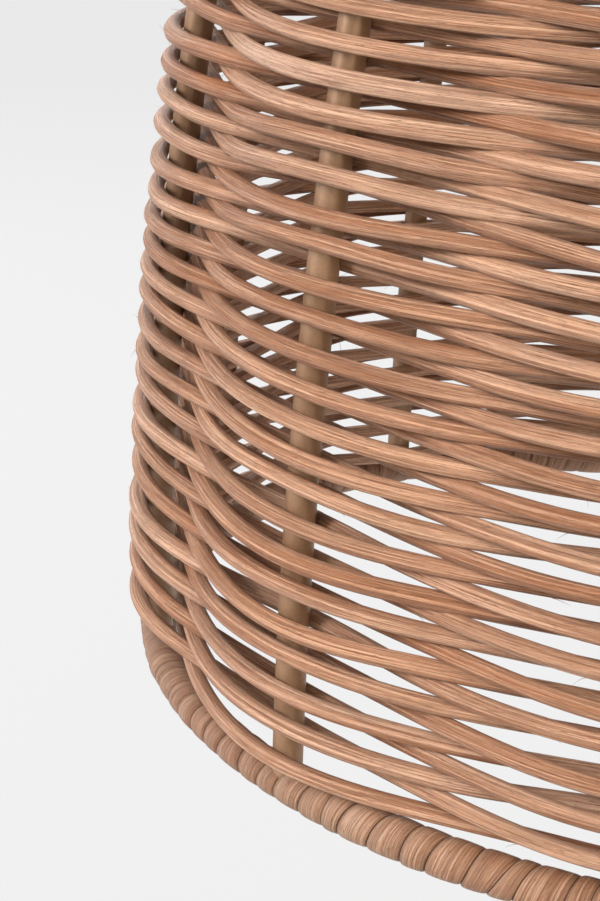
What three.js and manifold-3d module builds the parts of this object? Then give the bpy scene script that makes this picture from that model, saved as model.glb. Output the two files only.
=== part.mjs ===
// A drum-shaped lamp shade, woven from round rattan reeds over a welded steel rod frame.
// Millimetres, +Z up. The origin is the centre of the fitter ring's hole, level with its top face.
import * as THREE from 'three';
import { mergeVertices } from 'three/addons/utils/BufferGeometryUtils.js';
import Module from 'manifold-3d';

const wasm = await Module();
wasm.setup();

// Wall: the stakes' centre lines lie on a barrel, whose side is one shallow arc.
const ringSpacing = 190; // height from the bottom ring's centre to the top ring's centre
const bellyRadius = 118.5; // the widest place of the barrel
const bellyHeight = 51; // how far that is above the bottom ring's centre
const wallArcRadius = 890;

// Frame
const stakeCount = 11; // odd, so that one spiral reed passes each stake on the other side next time round
const stakeDiameter = 5.5;
const ringWireDiameter = 5.5;
const armCount = 3;
const armDiameter = 4;
const fitterHoleDiameter = 42; // passes the threaded skirt of a large screw lampholder
const fitterOuterDiameter = 60;
const fitterThickness = 2;
const fitterDrop = 20; // the fitter ring's centre below the top ring's centre
const armBend = 28; // length of an arm's straight pull at each end of its curve

// Rattan
const reedThickness = 2.66; // a square bar with the section area of a 3 mm round reed
const rowGap = 0.35; // least gap between neighbouring rows; the pitch then stretches to fill the wall
const reedCount = 13;
const peelThickness = 0.8;

// Fits
const clearance = 0.3; // between pieces that touch on the real shade
const endGap = 0.6; // between the end of one reed and the start of the next

// Facets
const ringFacets = 4 * stakeCount;
const wireSides = 8;
const stakeSegments = 10;
const armSegments = 12;
const fitterFacets = 48;
const segmentsPerSpan = 2; // a reed runs straight from a stake to its crossing, and on to the next stake
const weldDistance = 1e-3; // corners nearer to each other than this are one vertex

const stakeRadius = stakeDiameter / 2;
const ringWireRadius = ringWireDiameter / 2;
const bindingInnerRadius = ringWireRadius + clearance;
const bindingOuterRadius = bindingInnerRadius + peelThickness;
const fitterHeight = -fitterThickness / 2;
const topRingHeight = fitterHeight + fitterDrop;
const bottomRingHeight = topRingHeight - ringSpacing;
const spanAngle = (2 * Math.PI) / stakeCount;

// Radius of the stakes' circle at a height.
function wallRadius(height) {
  const rise = height - bottomRingHeight - bellyHeight;
  return bellyRadius - wallArcRadius + Math.sqrt(wallArcRadius ** 2 - rise ** 2);
}

const bottomRingRadius = wallRadius(bottomRingHeight);
const topRingRadius = wallRadius(topRingHeight);

// Weave: one spiral from ring to ring, cut into reeds that each start and end behind a stake.
const rowClearance = bindingOuterRadius + reedThickness / 2 + clearance;
const firstRowHeight = bottomRingHeight + rowClearance;
const weaveHeight = ringSpacing - 2 * rowClearance;
const leastPitch = reedThickness + rowGap;
const spansPerReed = 2 * Math.floor((weaveHeight * stakeCount) / (leastPitch * reedCount * 2));
const rowPitch = (weaveHeight * stakeCount) / (spansPerReed * reedCount);
const reedSwing = stakeRadius + reedThickness / 2 + clearance; // from the stakes' circle to a reed's centre

const steel = new THREE.MeshStandardMaterial({ color: 0x8a7560, roughness: 0.45, metalness: 0.3 });
const rattan = new THREE.MeshStandardMaterial({ color: 0xbe9270, roughness: 0.65, metalness: 0 });
const peel = new THREE.MeshStandardMaterial({ color: 0xb98a64, roughness: 0.6, metalness: 0 });

const shade = new THREE.Group();

function addPiece(name, geometry, material, azimuth = 0) {
  const mesh = new THREE.Mesh(geometry, material);
  mesh.name = name;
  mesh.rotation.z = azimuth;
  shade.add(mesh);
}

// Moves every vertex of a geometry to where place(x, y, z) puts it.
function reshape(geometry, place) {
  const position = geometry.getAttribute('position');
  for (let i = 0; i < position.count; i += 1) {
    const [x, y, z] = place(position.getX(i), position.getY(i), position.getZ(i));
    position.setXYZ(i, x, y, z);
  }
  geometry.computeVertexNormals();
  return geometry;
}

// A closed ring about the Z axis with a regular polygon as its section, flat side down.
function ringGeometry(radius, height, sectionRadius) {
  const section = [];
  for (let i = 0; i <= wireSides; i += 1) {
    const angle = ((i % wireSides) + 0.5) * ((2 * Math.PI) / wireSides);
    section.push(
      new THREE.Vector2(radius + sectionRadius * Math.cos(angle), height + sectionRadius * Math.sin(angle)),
    );
  }
  return new THREE.LatheGeometry(section, ringFacets).rotateX(Math.PI / 2);
}

// An upright rod that follows the wall, at azimuth 0.
function stakeGeometry(radius, fromHeight, toHeight) {
  const length = toHeight - fromHeight;
  const rod = new THREE.CylinderGeometry(radius, radius, length, wireSides, stakeSegments);
  rod.rotateX(Math.PI / 2);
  rod.translate(0, 0, fromHeight + length / 2);
  return reshape(rod, (x, y, z) => [wallRadius(z) + x, y, z]);
}

// A rod in the XZ plane that curves down from the top ring to the fitter ring.
function armGeometry(radius, startX) {
  const endX = fitterOuterDiameter / 2 + clearance;
  const path = new THREE.CubicBezierCurve3(
    new THREE.Vector3(startX, 0, topRingHeight),
    new THREE.Vector3(startX - armBend, 0, topRingHeight),
    new THREE.Vector3(endX + armBend, 0, fitterHeight),
    new THREE.Vector3(endX, 0, fitterHeight),
  );
  const section = new THREE.Shape().absarc(0, 0, radius, 0, 2 * Math.PI);
  return new THREE.ExtrudeGeometry(section, {
    steps: armSegments,
    curveSegments: wireSides / 2,
    extrudePath: path,
  });
}

// A flat washer.
function fitterRingGeometry() {
  const inner = fitterHoleDiameter / 2;
  const outer = fitterOuterDiameter / 2;
  const low = fitterHeight - fitterThickness / 2;
  const high = fitterHeight + fitterThickness / 2;
  const section = [
    new THREE.Vector2(inner, low),
    new THREE.Vector2(outer, low),
    new THREE.Vector2(outer, high),
    new THREE.Vector2(inner, high),
    new THREE.Vector2(inner, low),
  ];
  return new THREE.LatheGeometry(section, fitterFacets).rotateX(Math.PI / 2);
}

// Radius at the middle of a reed, where turn is the angle travelled since its start behind the first stake.
function reedRadius(turn, height) {
  return wallRadius(height) - reedSwing * Math.cos((stakeCount * turn) / 2);
}

// One reed, the stretch of the spiral that its number gives. It leans with the wall.
function reedGeometry(index) {
  const trim = endGap / 2 / bellyRadius;
  const start = index * spansPerReed * spanAngle + trim;
  const sweep = spansPerReed * spanAngle - 2 * trim;
  const bar = new THREE.BoxGeometry(reedThickness, 1, reedThickness, 1, spansPerReed * segmentsPerSpan, 1);
  return reshape(bar, (x, y, z) => {
    const turn = start + sweep * (y + 0.5);
    const height = firstRowHeight + (rowPitch * turn) / (2 * Math.PI) + z;
    const radius = reedRadius(turn, height) + x;
    return [radius * Math.cos(turn), radius * Math.sin(turn), height];
  });
}

function toSolid(geometry) {
  const bare = geometry.clone();
  bare.deleteAttribute('normal');
  bare.deleteAttribute('uv');
  const merged = mergeVertices(bare, weldDistance);
  return new wasm.Manifold(
    new wasm.Mesh({
      numProp: 3,
      vertProperties: new Float32Array(merged.getAttribute('position').array),
      triVerts: new Uint32Array(merged.getIndex().array),
    }),
  );
}

function toGeometry(solid) {
  const mesh = solid.getMesh();
  const geometry = new THREE.BufferGeometry();
  geometry.setAttribute('position', new THREE.BufferAttribute(mesh.vertProperties, 3));
  geometry.setIndex(new THREE.BufferAttribute(mesh.triVerts, 1));
  geometry.computeVertexNormals();
  return geometry;
}

// The wound peel, as a tube round the ring's wire with a hole for each rod that is welded to the ring.
function bindingGeometry(radius, height, rods) {
  const outside = toSolid(ringGeometry(radius, height, bindingOuterRadius));
  const inside = toSolid(ringGeometry(radius, height, bindingInnerRadius));
  let tube = outside.subtract(inside);
  for (const rod of rods) {
    tube = tube.subtract(toSolid(rod));
  }
  return toGeometry(tube);
}

function stakeAzimuth(index) {
  return index * spanAngle;
}

// The first arm stands midway between two stakes.
function armAzimuth(index) {
  return spanAngle / 2 + (index * 2 * Math.PI) / armCount;
}

// The room that the stakes take, with clearance, from one ring's centre to the other's.
function stakeHoles() {
  const holes = [];
  for (let i = 0; i < stakeCount; i += 1) {
    const hole = stakeGeometry(stakeRadius + clearance, bottomRingHeight, topRingHeight);
    holes.push(hole.rotateZ(stakeAzimuth(i)));
  }
  return holes;
}

function armHoles() {
  const holes = [];
  for (let i = 0; i < armCount; i += 1) {
    holes.push(armGeometry(armDiameter / 2 + clearance, topRingRadius).rotateZ(armAzimuth(i)));
  }
  return holes;
}

function addFrame() {
  const weld = ringWireRadius + clearance;
  addPiece('bottom_ring', ringGeometry(bottomRingRadius, bottomRingHeight, ringWireRadius), steel);
  addPiece('top_ring', ringGeometry(topRingRadius, topRingHeight, ringWireRadius), steel);
  for (let i = 0; i < stakeCount; i += 1) {
    const name = `stake_${String(i + 1).padStart(2, '0')}`;
    const rod = stakeGeometry(stakeRadius, bottomRingHeight + weld, topRingHeight - weld);
    addPiece(name, rod, steel, stakeAzimuth(i));
  }
  for (let i = 0; i < armCount; i += 1) {
    addPiece(`fitter_arm_${i + 1}`, armGeometry(armDiameter / 2, topRingRadius - weld), steel, armAzimuth(i));
  }
  addPiece('fitter_ring', fitterRingGeometry(), steel);
}

function addRattan() {
  for (let i = 0; i < reedCount; i += 1) {
    addPiece(`reed_${String(i + 1).padStart(2, '0')}`, reedGeometry(i), rattan);
  }
  addPiece('bottom_ring_binding', bindingGeometry(bottomRingRadius, bottomRingHeight, stakeHoles()), peel);
  const rodsAtTop = [...stakeHoles(), ...armHoles()];
  addPiece('top_ring_binding', bindingGeometry(topRingRadius, topRingHeight, rodsAtTop), peel);
}

addFrame();
addRattan();

export default shade;
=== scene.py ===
import math

import bmesh
import bpy
import numpy as np
from mathutils import Matrix, Vector


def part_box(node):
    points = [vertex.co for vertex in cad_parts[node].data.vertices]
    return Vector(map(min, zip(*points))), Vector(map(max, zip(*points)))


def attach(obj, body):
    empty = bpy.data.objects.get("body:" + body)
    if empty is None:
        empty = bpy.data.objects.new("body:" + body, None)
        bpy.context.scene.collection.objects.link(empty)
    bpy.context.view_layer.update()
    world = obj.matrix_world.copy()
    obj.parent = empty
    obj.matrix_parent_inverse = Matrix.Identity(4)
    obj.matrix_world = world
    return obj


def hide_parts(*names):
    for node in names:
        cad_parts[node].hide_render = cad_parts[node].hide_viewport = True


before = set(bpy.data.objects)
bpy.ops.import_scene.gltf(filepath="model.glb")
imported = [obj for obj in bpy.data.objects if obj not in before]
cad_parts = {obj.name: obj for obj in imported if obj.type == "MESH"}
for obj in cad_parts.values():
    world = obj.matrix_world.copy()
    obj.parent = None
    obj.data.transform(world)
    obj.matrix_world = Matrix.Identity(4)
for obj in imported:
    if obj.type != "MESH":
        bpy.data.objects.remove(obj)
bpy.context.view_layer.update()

TURN = 2 * math.pi
random = np.random.default_rng(11)

# ---------------------------------------------------------------------------------------------------------
# Sizes. The first group comes from the frame, the second is what the frame doesn't hold.


def box_of(node):
    low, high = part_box(node)
    return np.array(low), np.array(high)


def size_of(node):
    low, high = box_of(node)
    return high - low


def count_of(prefix):
    return sum(name.startswith(prefix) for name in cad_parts)


def ring_place(node):
    """Radius and height of a ring's centre line."""
    low, high = box_of(node)
    wire = (high[2] - low[2]) / 2
    return (high[0] - low[0]) / 2 - wire, (high[2] + low[2]) / 2


STAKES = count_of("stake_")
REEDS = count_of("reed_")
ARMS = count_of("fitter_arm_")
SPAN = TURN / STAKES
BOTTOM_RADIUS, BOTTOM_HEIGHT = ring_place("bottom_ring")
TOP_RADIUS, TOP_HEIGHT = ring_place("top_ring")
STAKE_RADIUS = size_of("stake_01")[1] / 2
RING_WIRE_RADIUS = STAKE_RADIUS  # the rings are bent from the same rod
RIM_RADIUS = size_of("bottom_ring_binding")[0] / 2 - BOTTOM_RADIUS  # of the bound ring's round section

WALL_ARC_RADIUS = 0.89  # the wall's side is one shallow arc from ring to ring
SPANS_PER_REED = 50  # a span runs from one stake to the next
REED_RADIUS = 0.00155
PEEL_WIDTH = 0.0056
PEEL_THICKNESS = 0.0010
PEEL_GAP = 0.00005  # between a ring and the peel round it
ARM_RADIUS = 0.002
ARM_BEND = 0.028  # length of an arm's straight pull at each end of its curve
FITTER_RIM_WIDTH = 0.009


def wall_radius(height):
    """Radius of the stakes' circle at a height."""
    rise = TOP_HEIGHT - BOTTOM_HEIGHT
    inset = TOP_RADIUS - BOTTOM_RADIUS
    half_chord = math.hypot(rise, inset) / 2
    reach = math.sqrt(WALL_ARC_RADIUS**2 - half_chord**2)
    centre_radius = (TOP_RADIUS + BOTTOM_RADIUS) / 2 - reach * rise / (2 * half_chord)
    centre_height = (TOP_HEIGHT + BOTTOM_HEIGHT) / 2 + reach * inset / (2 * half_chord)
    return centre_radius + np.sqrt(WALL_ARC_RADIUS**2 - (height - centre_height) ** 2)


# ---------------------------------------------------------------------------------------------------------
# Camera: in front of the near wall, above the bottom rim, turned towards its left side and tilted.

CAMERA_DISTANCE = 0.424
CAMERA_RISE = 0.178
CAMERA_AZIMUTH = math.radians(-4.6)
CAMERA_YAW = math.radians(12.2)
CAMERA_PITCH = math.radians(18.9)
CAMERA_ROLL = math.radians(4.1)
CAMERA_LENS = 84  # millimetres, as is the sensor's width
SENSOR_WIDTH = 36


def add_camera():
    data = bpy.data.cameras.new("camera")
    data.lens = CAMERA_LENS
    data.sensor_width = SENSOR_WIDTH
    data.clip_start = 0.01
    camera = bpy.data.objects.new("camera", data)
    bpy.context.scene.collection.objects.link(camera)
    aim = Matrix.Rotation(CAMERA_YAW, 4, "Z") @ Matrix.Rotation(math.pi / 2 - CAMERA_PITCH, 4, "X")
    place = Matrix.Translation((0, -CAMERA_DISTANCE, BOTTOM_HEIGHT + CAMERA_RISE))
    around = Matrix.Rotation(CAMERA_AZIMUTH, 4, "Z")
    roll = Matrix.Rotation(CAMERA_ROLL, 4, "Z")
    camera.matrix_world = around @ place @ aim @ roll
    bpy.context.scene.camera = camera


# ---------------------------------------------------------------------------------------------------------
# Meshes


def round_angles(count):
    """Angles of count even steps round a circle, from 0."""
    return np.arange(count) / count * TURN


def around_axis(radius, azimuth, height):
    """Points of the shade from their distance to its axis, their azimuth and their height."""
    return np.stack(np.broadcast_arrays(radius * np.cos(azimuth), radius * np.sin(azimuth), height), -1)


def path_length(path):
    """Distance from a path's start to each of its points."""
    steps = np.linalg.norm(np.diff(path, axis=0), axis=1)
    return np.concatenate([[0], np.cumsum(steps)])


def swept_mesh(name, sections, along, closed=False):
    """A skin over sections, an array of (count, points, xyz) whose rings of points turn left-handed as seen
    looking along the sweep. Its UV map holds the distance along the sweep and the share of the way round."""
    count, points, _ = sections.shape
    index = np.arange(count * points).reshape(count, points)
    if closed:
        index = np.vstack([index, index[:1]])
        along = np.append(along, 2 * along[-1] - along[-2])
    near, far = index[:-1], index[1:]
    quads = np.stack([near, np.roll(near, -1, 1), np.roll(far, -1, 1), far], -1).reshape(-1, 4)
    row, column = np.meshgrid(np.arange(len(near)), np.arange(points), indexing="ij")
    corner_row = np.stack([row, row, row + 1, row + 1], -1).reshape(-1)
    corner_column = np.stack([column, column + 1, column + 1, column], -1).reshape(-1)
    uv = np.stack([along[corner_row], corner_column / points], -1)
    faces = quads.tolist()
    if not closed:
        faces.append(index[0, ::-1].tolist())
        faces.append(index[-1].tolist())
        for end in (along[0], along[-1]):
            uv = np.vstack([uv, np.stack([np.full(points, end), np.arange(points) / points], -1)])
    mesh = bpy.data.meshes.new(name)
    mesh.from_pydata(sections.reshape(-1, 3).tolist(), [], faces)
    layer = mesh.uv_layers.new(name="grain")
    layer.data.foreach_set("uv", uv.astype(np.float32).reshape(-1))
    mesh.polygons.foreach_set("use_smooth", np.ones(len(faces), dtype=bool))
    mesh.update()
    return mesh


def tube_sections(path, radius, sides, up=(0, 0, 1)):
    """Round sections across a path. radius is one number, or one for each point of each section."""
    path = np.asarray(path, float)
    tangent = np.gradient(path, axis=0)
    tangent /= np.linalg.norm(tangent, axis=1, keepdims=True)
    side = np.cross(tangent, np.asarray(up, float))
    side /= np.linalg.norm(side, axis=1, keepdims=True)
    lift = np.cross(side, tangent)
    angle = round_angles(sides)
    size = np.broadcast_to(radius, (len(path), sides))
    return (
        path[:, None]
        + (size * np.cos(angle))[..., None] * side[:, None]
        - (size * np.sin(angle))[..., None] * lift[:, None]
    )


def add_piece(name, mesh, material, slot, *stands_for):
    """Puts a mesh in the scene, on the only body, in place of the CAD nodes that it stands for."""
    piece = bpy.data.objects.new(name, mesh)
    bpy.context.scene.collection.objects.link(piece)
    mesh.materials.append(material)
    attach(piece, "root")
    if stands_for:
        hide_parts(*stands_for)


# ---------------------------------------------------------------------------------------------------------
# Material nodes


class Nodes:
    """Shorthand for building one material's node tree."""

    def __init__(self, name):
        self.material = bpy.data.materials.new(name)
        self.material.use_nodes = True
        self.tree = self.material.node_tree
        self.shader = self.tree.nodes["Principled BSDF"]

    def add(self, kind, inputs=(), **settings):
        node = self.tree.nodes.new(kind)
        for name, value in settings.items():
            setattr(node, name, value)
        for key, value in dict(inputs).items():
            self.feed(node.inputs[key], value)
        return node

    def feed(self, socket, value):
        if isinstance(value, bpy.types.NodeSocket):
            self.tree.links.new(value, socket)
        else:
            socket.default_value = value

    def math(self, operation, a, b=0.0, c=0.0):
        node = self.add("ShaderNodeMath", {0: a, 1: b, 2: c}, operation=operation)
        return node.outputs[0]

    def weigh(self, *parts):
        """Sum of pairs of a socket and its weight."""
        total = 0.0
        for socket, weight in parts:
            total = self.math("MULTIPLY_ADD", socket, weight, total)
        return total

    def join(self, x, y, z):
        return self.add("ShaderNodeCombineXYZ", {0: x, 1: y, 2: z}).outputs[0]

    def noise(self, vector, scale=1.0, detail=2.0, roughness=0.5):
        inputs = {"Vector": vector, "Scale": scale, "Detail": detail, "Roughness": roughness}
        return self.add("ShaderNodeTexNoise", inputs).outputs[0]

    def spread(self, value, low, high, to_low=0.0, to_high=1.0):
        inputs = {0: value, 1: low, 2: high, 3: to_low, 4: to_high}
        return self.add("ShaderNodeMapRange", inputs).outputs[0]

    def mix(self, share, a, b, blend="MIX"):
        # A colour mix takes its colours in sockets 6 and 7 and gives the mixed one in socket 2.
        node = self.add("ShaderNodeMix", data_type="RGBA", blend_type=blend)
        self.feed(node.inputs[0], share)
        self.feed(node.inputs[6], a)
        self.feed(node.inputs[7], b)
        return node.outputs[2]

    def shade(self, name, value):
        """Sets one of the shader's own inputs."""
        self.feed(self.shader.inputs[name], value)

    def bump(self, height, strength, distance):
        inputs = {"Height": height, "Strength": strength, "Distance": distance}
        self.shade("Normal", self.add("ShaderNodeBump", inputs).outputs[0])


def colour(red, green, blue):
    return (red, green, blue, 1.0)


# Grains of each pattern per metre along a strand, and per radius across it.
GOLD_GRAIN = (1.6, 0.1)
BROAD_GRAIN = (4, 0.25)
STREAK_GRAIN = (16, 3.4)
FIBRE_GRAIN = (70, 13)
SCAR_GRAIN = (450, 13)

RATTAN_PALE = colour(0.56, 0.354, 0.238)
RATTAN_DEEP = colour(0.29, 0.118, 0.048)
PEEL_PALE = colour(0.38, 0.24, 0.158)
PEEL_DEEP = colour(0.235, 0.11, 0.054)
GOLD_WASH = colour(1.0, 0.86, 0.68)
# Painted shade for the sunken grooves
PAINTED_GROOVE_SHADE = colour(0.19, 0.075, 0.035)
# Painted shade for the low fibres that the bump sinks into cracks
PAINTED_CRACK_SHADE = colour(0.16, 0.06, 0.028)
FLECK_BROWN = colour(0.13, 0.05, 0.024)
# Painted highlight for the raised fibres
PAINTED_HIGHLIGHT_PALE = colour(0.76, 0.51, 0.36)

STEEL_DEEP = colour(0.26, 0.145, 0.076)
STEEL_PALE = colour(0.35, 0.212, 0.122)
STEEL_SPECKLE = colour(0.16, 0.10, 0.06)


def fibre_vector(nodes, grain, round_section):
    """Coordinates along and across a strand's fibres, in grains."""
    per_metre, per_radius = grain
    place = nodes.add("ShaderNodeUVMap", uv_map="grain").outputs[0]
    split = nodes.add("ShaderNodeSeparateXYZ", {0: place})
    length = nodes.math("MULTIPLY", split.outputs[0], per_metre)
    if not round_section:
        return nodes.join(length, nodes.math("MULTIPLY", split.outputs[1], per_radius * TURN), 0.0)
    angle = nodes.math("MULTIPLY", split.outputs[1], TURN)
    x = nodes.math("MULTIPLY", nodes.math("COSINE", angle), per_radius)
    y = nodes.math("MULTIPLY", nodes.math("SINE", angle), per_radius)
    return nodes.join(length, x, y)


def rattan_material(name, pale, deep, round_section):
    """Split-fibre rattan: fine fibres, thin grooves and low fibres darkened by painted shade, painted
    highlights on the raised fibres, short dark flecks, and a tone that wanders.
    """
    nodes = Nodes(name)

    def pattern(grain, detail=2, roughness=0.5):
        return nodes.noise(fibre_vector(nodes, grain, round_section), detail=detail, roughness=roughness)

    broad = pattern(BROAD_GRAIN, detail=3)
    streaks = pattern(STREAK_GRAIN, detail=4, roughness=0.7)
    fibres = pattern(FIBRE_GRAIN, detail=5, roughness=0.8)
    tone = nodes.weigh((broad, 0.9), (streaks, 0.5), (fibres, 0.45))
    body = nodes.mix(nodes.spread(tone, 0.77, 1.08), deep, pale)
    golden = nodes.spread(pattern(GOLD_GRAIN), 0.4, 0.62, to_high=0.5)
    body = nodes.mix(golden, body, GOLD_WASH, "MULTIPLY")
    # A groove runs wherever the streaks pass their middle value. The bump below sinks it, and painted shade
    # darkens it.
    beside_groove = nodes.math("ABSOLUTE", nodes.math("SUBTRACT", streaks, 0.47))
    grooves = nodes.spread(beside_groove, 0.0, 0.045, to_low=0.6, to_high=0.0)
    body = nodes.mix(grooves, body, PAINTED_GROOVE_SHADE)
    # Painted shade darkens the low fibres, which the bump below sinks into cracks.
    crack_shade_mask = nodes.spread(fibres, 0.38, 0.48, to_low=0.8, to_high=0.0)
    body = nodes.mix(crack_shade_mask, body, PAINTED_CRACK_SHADE)
    # Painted highlight lightens the raised fibres, which the bump below lifts.
    highlight_mask = nodes.spread(fibres, 0.54, 0.68, to_high=0.5)
    body = nodes.mix(highlight_mask, body, PAINTED_HIGHLIGHT_PALE)
    flecks = nodes.spread(pattern(SCAR_GRAIN), 0.62, 0.68, to_high=0.75)
    nodes.shade("Base Color", nodes.mix(flecks, body, FLECK_BROWN))
    nodes.shade("Roughness", nodes.spread(fibres, 0.3, 0.7, to_low=0.58, to_high=0.38))
    nodes.bump(nodes.weigh((streaks, 0.5), (fibres, 0.6), (grooves, -0.4)), strength=0.9, distance=0.0004)
    nodes.shade("Specular IOR Level", 0.4)
    nodes.shade("Subsurface Weight", 0.18)
    nodes.shade("Subsurface Radius", (1.0, 0.42, 0.22))
    nodes.shade("Subsurface Scale", 0.0012)
    return nodes.material


def coated_steel_material():
    """Satin powder coat in taupe, a little uneven along the rod."""
    nodes = Nodes("coated_steel")
    place = nodes.add("ShaderNodeTexCoord").outputs["Object"]
    cloud = nodes.noise(place, scale=60, detail=3)
    speckle = nodes.noise(place, scale=1500)
    body = nodes.mix(nodes.spread(cloud, 0.35, 0.65), STEEL_DEEP, STEEL_PALE)
    speckled = nodes.spread(speckle, 0.35, 0.7, to_high=0.25)
    nodes.shade("Base Color", nodes.mix(speckled, body, STEEL_SPECKLE))
    nodes.shade("Roughness", nodes.spread(cloud, 0.3, 0.7, to_low=0.36, to_high=0.5))
    nodes.shade("Metallic", 0.3)
    nodes.bump(speckle, strength=0.25, distance=0.0001)
    return nodes.material


# ---------------------------------------------------------------------------------------------------------
# Frame: rods, rings and fitter


def add_rod(name, distance, azimuth, height, radius, sides, steel):
    """A round rod in the upright plane at an azimuth, through points given by distance and height."""
    path = around_axis(distance, azimuth, height)
    level = (-math.sin(azimuth), math.cos(azimuth), 0)
    mesh = swept_mesh(name, tube_sections(path, radius, sides, up=level), path_length(path))
    add_piece(f"{name}_rod", mesh, steel, "coated_steel", name)


def add_stakes(steel):
    sides, steps = 28, 60
    height = np.linspace(BOTTOM_HEIGHT, TOP_HEIGHT, steps)
    for i in range(STAKES):
        add_rod(f"stake_{i + 1:02d}", wall_radius(height), i * SPAN, height, STAKE_RADIUS, sides, steel)


def add_ring(node, steel):
    """A round wire bent into a closed ring."""
    sides, steps = 24, 264
    radius, height = ring_place(node)
    angle = round_angles(sides)
    distance = radius + RING_WIRE_RADIUS * np.cos(angle)
    azimuth = round_angles(steps)
    sections = around_axis(distance, azimuth[:, None], height - RING_WIRE_RADIUS * np.sin(angle))
    mesh = swept_mesh(node, sections, azimuth * radius, closed=True)
    add_piece(f"{node}_wire", mesh, steel, "coated_steel", node)


def add_arms(steel):
    """Three rods that curve down from the top ring to the fitter ring, along the CAD arms' own curve."""
    sides, steps = 24, 60
    low, high = box_of("fitter_ring")
    start = np.array([TOP_RADIUS, TOP_HEIGHT])
    end = np.array([high[0], (low[2] + high[2]) / 2])
    pull = np.array([ARM_BEND, 0])
    t = np.linspace(0, 1, steps)[:, None]
    near_start = (1 - t) ** 3 * start + 3 * (1 - t) ** 2 * t * (start - pull)
    near_end = 3 * (1 - t) * t**2 * (end + pull) + t**3 * end
    distance, height = (near_start + near_end).T
    for i in range(ARMS):
        azimuth = SPAN / 2 + i * TURN / ARMS
        add_rod(f"fitter_arm_{i + 1}", distance, azimuth, height, ARM_RADIUS, sides, steel)


def add_fitter_ring(steel):
    """A washer with softened edges."""
    steps, round_steps, edge = 160, 5, 0.00045
    low, high = box_of("fitter_ring")
    outer = high[0]
    inner = outer - FITTER_RIM_WIDTH
    section = []
    corners = [(outer, high[2], 0), (inner, high[2], 1), (inner, low[2], 2), (outer, low[2], 3)]
    for radius, height, quarter in corners:
        centre_radius = radius - math.copysign(edge, radius - (inner + outer) / 2)
        centre_height = height - math.copysign(edge, height - (low[2] + high[2]) / 2)
        for k in range(round_steps):
            angle = (quarter + k / (round_steps - 1)) * math.pi / 2
            section.append((centre_radius + edge * math.cos(angle), centre_height + edge * math.sin(angle)))
    section = np.array(section)[::-1]
    azimuth = round_angles(steps)
    sections = around_axis(section[:, 0], azimuth[:, None], section[:, 1])
    mesh = swept_mesh("fitter_ring", sections, azimuth * outer, closed=True)
    add_piece("fitter_ring_washer", mesh, steel, "coated_steel", "fitter_ring")


# ---------------------------------------------------------------------------------------------------------
# Rattan

SWING = STAKE_RADIUS + REED_RADIUS  # from the stakes' circle to a reed's centre line where it passes a stake
FIRST_ROW = BOTTOM_HEIGHT + RIM_RADIUS + REED_RADIUS
LAST_ROW = TOP_HEIGHT - RIM_RADIUS - REED_RADIUS
TOTAL_SPANS = REEDS * SPANS_PER_REED
NOISE_CELLS = 4096
NOISE_LIMIT = 1.8  # where noise that moves something is cut off

# Lie of the rows
BUNCHING = 0.016  # how far the rows crowd towards the middle of the wall, as a share of its height
ROW_LIFT = 0.0007  # how far a row strays up or down at a stake
ROW_DRIFT = 0.0007  # how far neighbouring rows stray together
SLACK = 0.0003  # how far a reed stands off a stake
SETTLING = 0.6  # how much of the room beside the bottom rim the first row sinks into
SETTLING_TURNS = 2.5  # turns of the spiral until the rows no longer sink

# One reed
REED_SIDES = 28
STEPS_PER_SPAN = 20
THICKNESS_WANDER = 0.03  # along a reed, as a share of REED_RADIUS, as are the next two
THICKNESS_SPREAD = 0.02  # from one reed to the next
THICKEST = 1.07
GROOVE_WANDER = 1.3  # radians round the strand
GROOVES = ((2, 0.035, 12), (3, 0.025, 16), (5, 0.022, 25), (9, 0.018, 40))  # lobes, depth, bends per metre
GRAIN_STEP = 4.0  # metres of grain between the start of one reed and the next, so that no two look alike

# Loose fibres
HAIRS = 900
HAIR_RADIUS = 0.00006
HAIR_LENGTHS = (0.0008, 0.0032)
HAIR_TILT = 1.4  # radians that a hair's root may lie above or below the outermost line of its reed
STRAY_FIBRE = {"passes": 3 * STAKES + 6.35, "tilt": 0.5, "length": 0.011, "radius": 0.00009}

# Outline of the peel, from its low edge over the outside to its high edge and back along the ring: place
# across the strip in widths, and height over the ring in thicknesses.
PEEL_OUTLINE = (
    (-0.5, 0.42),
    (-0.46, 0.78),
    (-0.36, 0.95),
    (-0.18, 1.0),
    (0.0, 0.99),
    (0.18, 0.95),
    (0.36, 0.87),
    (0.46, 0.72),
    (0.5, 0.5),
    (0.3, 0.0),
    (0.0, 0.0),
    (-0.3, 0.0),
)
PEEL_EDGE_WANDER = 0.2  # widths that the edge between two turns strays
PEEL_FULLNESS = 0.08  # how much the thickness differs from turn to turn


def smooth_noise(position, seed):
    """Noise of unit spread that changes over a distance of about 1."""
    values = np.random.default_rng(seed).normal(size=NOISE_CELLS)
    cell = np.floor(position).astype(int)
    part = position - cell
    part = part * part * (3 - 2 * part)
    return values[cell % NOISE_CELLS] * (1 - part) + values[(cell + 1) % NOISE_CELLS] * part


def limited_noise(position, seed):
    """Smooth noise without its rare high peaks."""
    return np.clip(smooth_noise(position, seed), -NOISE_LIMIT, NOISE_LIMIT)


def row_drift(turn, height):
    """Long waves that neighbouring rows share, fading out at both rings."""
    share = (height - BOTTOM_HEIGHT) / (TOP_HEIGHT - BOTTOM_HEIGHT)
    waves = np.sin(2 * turn + 9 * share)
    waves += 0.8 * np.sin(5 * turn - 14 * share + 1)
    waves += 0.6 * np.sin(3 * turn + 19 * share + 4)
    fade = 4 * share * (1 - share)
    return ROW_DRIFT * waves * fade


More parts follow.
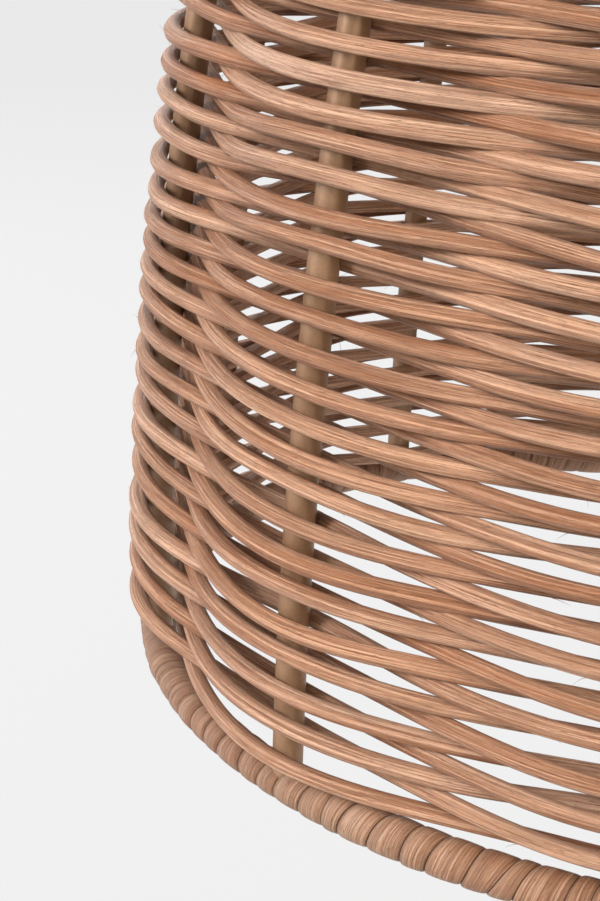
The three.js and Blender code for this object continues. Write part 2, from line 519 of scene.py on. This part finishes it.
def settling(passes, swing):
    """How far the first rows sink beside the bottom rim, where their swing takes them off its top."""
    reach = RIM_RADIUS + REED_RADIUS
    off_top = np.minimum(np.abs(swing), 0.9 * reach)  # further out the rim's side is too steep to lie on
    drop = np.sqrt(reach**2 - off_top**2) - reach
    return SETTLING * np.clip(1 - passes / (SETTLING_TURNS * STAKES), 0, 1) * drop


def grooved(radius, along, sides, seed):
    """A strand's section: not quite round, with grooves between its fibres that wander as they run along."""
    angle = round_angles(sides)
    section = np.ones((len(along), sides))
    for lobes, depth, per_metre in GROOVES:
        wander = GROOVE_WANDER * smooth_noise(along * per_metre, seed + lobes)
        depth_here = depth * (1 + 0.5 * smooth_noise(along * per_metre * 1.7, seed + 50 + lobes))
        section += depth_here[:, None] * np.cos(lobes * angle[None, :] + wander[:, None])
    return radius[:, None] * section


def reed_line(passes):
    """Centre line of the woven spiral, where passes counts the stakes passed since its start."""
    nearest = np.round(passes).astype(int)
    at_stake = np.cos(math.pi * (passes - nearest)) ** 2
    lift = limited_noise(nearest, 1) * ROW_LIFT * at_stake
    lift = np.where(passes < STAKES, 0.0, lift)  # the first row lies on the bottom rim
    lift = np.where(passes > TOTAL_SPANS - STAKES, -np.abs(lift), lift)  # the last stays below the top one
    turn = passes * SPAN
    share = passes / TOTAL_SPANS
    height = FIRST_ROW + (LAST_ROW - FIRST_ROW) * (share + BUNCHING * np.sin(TURN * share)) + lift
    slack = np.abs(smooth_noise(passes * 0.9, 2)) * SLACK
    swing = (SWING + slack) * -np.cos(math.pi * passes)
    height = height + row_drift(turn, height) + settling(passes, swing)
    return around_axis(wall_radius(height) + swing, turn, height)


def add_reeds(rattan):
    for i in range(REEDS):
        passes = np.linspace(i, i + 1, SPANS_PER_REED * STEPS_PER_SPAN + 1) * SPANS_PER_REED
        path = reed_line(passes)
        along = path_length(path)
        wander = THICKNESS_WANDER * smooth_noise(along * 9, 100 + i)
        thick = REED_RADIUS * np.minimum(1 + wander + THICKNESS_SPREAD * random.normal(), THICKEST)
        sections = tube_sections(path, grooved(thick, along, REED_SIDES, 200 * i), REED_SIDES)
        name = f"reed_{i + 1:02d}"
        mesh = swept_mesh(name, sections, along + GRAIN_STEP * i)
        add_piece(f"{name}_strand", mesh, rattan, "rattan_core", name)


def hair_mesh(passes, tilt, length, radius):
    """A tapering fibre that leaves a reed along it, rising from the side that tilt gives, and curls away."""
    points, sides = 9, 5
    depth, rise, droop, taper = 0.95, 0.7, 0.25, 0.8
    here, there = reed_line(np.array([passes, passes + 0.02]))
    along = (there - here) / np.linalg.norm(there - here) * random.choice([-1, 1])
    level = np.array([here[0], here[1], 0]) / math.hypot(here[0], here[1])
    outwards = math.cos(tilt) * level + math.sin(tilt) * np.array([0, 0, 1.0])
    sideways = np.cross(along, outwards) * random.normal(scale=0.7)
    t = np.linspace(0, 1, points)[:, None]
    root = here + outwards * REED_RADIUS * depth
    path = root + length * (t * along + t**2 * (rise * outwards + sideways) - droop * t**3 * outwards)
    sections = tube_sections(path, radius * (1 - taper * t), sides, up=outwards)
    return swept_mesh("hair", sections, path_length(path) + random.uniform(0, 50))


def add_loose_fibres(rattan):
    """Fine hairs that stand off the reeds, and one long stray fibre near the bottom rim."""
    hairs = [hair_mesh(**STRAY_FIBRE)]
    for _ in range(HAIRS):
        passes = random.uniform(2, TOTAL_SPANS - 2)
        tilt = random.uniform(-HAIR_TILT, HAIR_TILT)
        hairs.append(hair_mesh(passes, tilt, random.uniform(*HAIR_LENGTHS), HAIR_RADIUS))
    merged = bmesh.new()
    for hair in hairs:
        merged.from_mesh(hair)
        bpy.data.meshes.remove(hair)
    mesh = bpy.data.meshes.new("loose_fibres")
    merged.to_mesh(mesh)
    merged.free()
    add_piece("loose_fibres", mesh, rattan, "rattan_core")


def add_binding(node, ring, peel, seed):
    """Flat peel wound round a ring, each turn against the last."""
    radius, height = ring_place(ring)
    turns = round(TURN * radius / PEEL_WIDTH)
    steps_per_turn = 28
    turn = np.arange(turns * steps_per_turn) / steps_per_turn
    across, crown = np.array(PEEL_OUTLINE).T

    def edge(place):
        return place + PEEL_EDGE_WANDER * limited_noise((place % turns) * 1.7, seed)

    low_edge, high_edge = edge(turn - 0.5), edge(turn + 0.5)
    place = low_edge[:, None] + (high_edge - low_edge)[:, None] * (across + 0.5)
    fullness = 1 + PEEL_FULLNESS * smooth_noise((turn % turns) * 0.8, seed + 1)
    inner = RING_WIRE_RADIUS + PEEL_GAP
    tube = inner + PEEL_THICKNESS * crown * fullness[:, None]
    angle = turn[:, None] * TURN
    azimuth = place / turns * TURN
    sections = around_axis(radius + tube * np.cos(angle), azimuth, height + tube * np.sin(angle))
    mesh = swept_mesh(node, sections, turn * TURN * (inner + PEEL_THICKNESS))
    add_piece(f"{node}_peel", mesh, peel, "rattan_peel", node)


# ---------------------------------------------------------------------------------------------------------
# Room

FLOOR_DROP = 0.6  # the shade hangs this far above the floor
ROOM_RADIUS = 10
WORLD_STRENGTH = 0.44


def pale_material(name, albedo, glow):
    """Matt white paint with a glow of its own, which keeps it even where the lights don't reach."""
    nodes = Nodes(name)
    nodes.shade("Base Color", colour(albedo, albedo, albedo))
    nodes.shade("Emission Color", colour(1.0, 1.0, 1.0))
    nodes.shade("Emission Strength", glow)
    nodes.shade("Roughness", 0.9)
    return nodes.material


def add_floor():
    bpy.ops.mesh.primitive_plane_add(size=2 * ROOM_RADIUS, location=(0, 0, BOTTOM_HEIGHT - FLOOR_DROP))
    floor = bpy.context.object
    floor.name = "floor"
    floor.data.materials.append(pale_material("floor", albedo=0.05, glow=0.765))


def add_backdrop():
    """A dome that is only seen, and neither lights the shade nor takes light from it."""
    bpy.ops.mesh.primitive_uv_sphere_add(segments=64, ring_count=32, radius=ROOM_RADIUS)
    dome = bpy.context.object
    dome.name = "backdrop"
    dome.data.materials.append(pale_material("backdrop", albedo=0.0, glow=0.855))
    dome.visible_diffuse = False
    dome.visible_glossy = False
    dome.visible_transmission = False
    dome.visible_shadow = False


def add_light(name, place, size, power, tint):
    """A round soft light that faces the middle of the shade."""
    data = bpy.data.lights.new(name, "AREA")
    data.shape = "DISK"
    data.size = size
    data.energy = power
    data.color = tint
    light = bpy.data.objects.new(name, data)
    bpy.context.scene.collection.objects.link(light)
    light.location = place
    light.rotation_mode = "QUATERNION"
    target = Vector((0, 0, (TOP_HEIGHT + BOTTOM_HEIGHT) / 2))
    light.rotation_quaternion = (target - light.location).to_track_quat("-Z", "Y")


def add_lights():
    world = bpy.data.worlds.new("studio")
    world.use_nodes = True
    background = world.node_tree.nodes["Background"]
    background.inputs["Color"].default_value = colour(1.0, 1.0, 1.0)
    background.inputs["Strength"].default_value = WORLD_STRENGTH
    bpy.context.scene.world = world
    add_light("key", place=(-2.8, -1.5, 1.2), size=1.3, power=136, tint=(1.0, 0.99, 1.04))
    add_light("front", place=(0.2, -2.6, 1.9), size=2.4, power=36, tint=(1.0, 0.98, 0.95))
    add_light("back", place=(-1.4, 2.7, 1.6), size=2.2, power=68, tint=(1.0, 0.99, 0.98))
    add_light("warm_side", place=(1.0, -1.8, 0.6), size=1.6, power=36, tint=(1.0, 0.86, 0.68))


def main():
    add_camera()
    steel = coated_steel_material()
    rattan = rattan_material("rattan_core", RATTAN_PALE, RATTAN_DEEP, round_section=True)
    peel = rattan_material("rattan_peel", PEEL_PALE, PEEL_DEEP, round_section=False)
    add_stakes(steel)
    add_ring("bottom_ring", steel)
    add_ring("top_ring", steel)
    add_arms(steel)
    add_fitter_ring(steel)
    add_reeds(rattan)
    add_loose_fibres(rattan)
    add_binding("bottom_ring_binding", "bottom_ring", peel, 21)
    add_binding("top_ring_binding", "top_ring", peel, 31)
    add_floor()
    add_backdrop()
    add_lights()
    bpy.context.scene.view_settings.view_transform = "Standard"


main()
